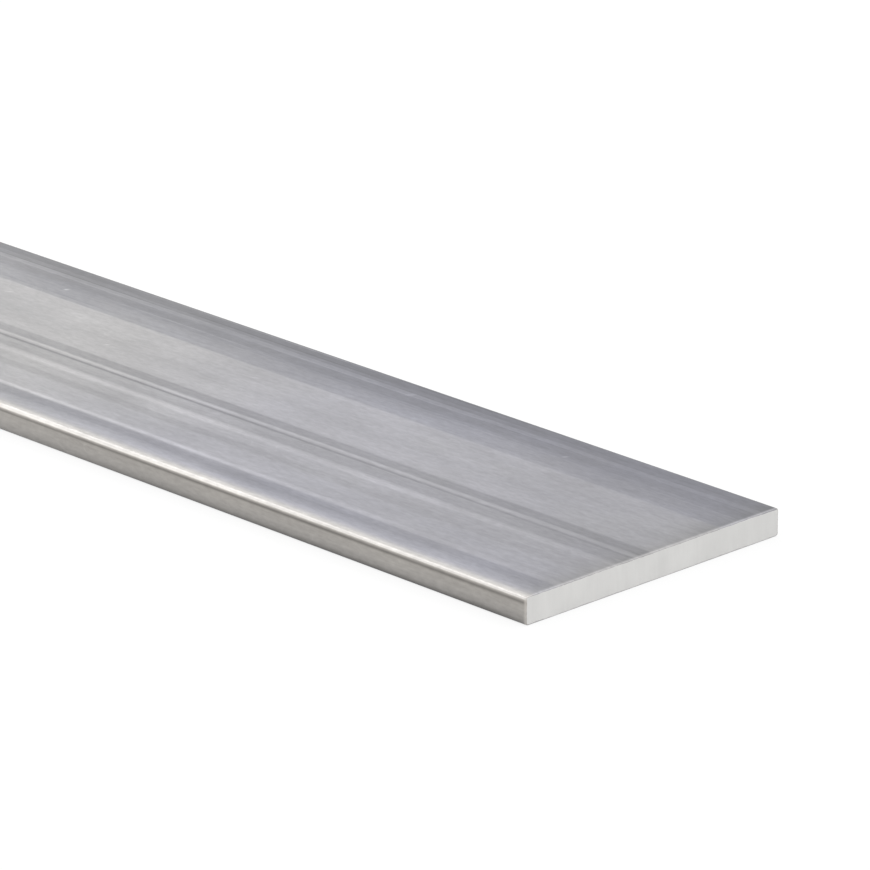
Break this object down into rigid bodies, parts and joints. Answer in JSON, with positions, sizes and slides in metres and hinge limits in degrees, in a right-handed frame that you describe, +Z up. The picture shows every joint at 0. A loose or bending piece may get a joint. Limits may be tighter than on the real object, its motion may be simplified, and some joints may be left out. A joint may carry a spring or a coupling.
{
  "type": "metal flat bar",
  "caption": "Straight mill-finish aluminium flat bar of thin rectangular section with slightly rounded long edges and square sawn ends.",
  "frame": {"origin": "middle of the underside, where the bar lies on a floor or shelf", "axes": "+X along the bar towards the sawn end that the picture shows, +Y across the width, +Z up through the thickness"},
  "size_m": [1, 0.035, 0.003],
  "materials": {
    "mill_aluminium": "mill finish as extruded, satin, with fine lengthwise die lines; ends sawn"
  },
  "bodies": {
    "root": {"flat_bar": "mill_aluminium"}
  },
  "joints": []
}
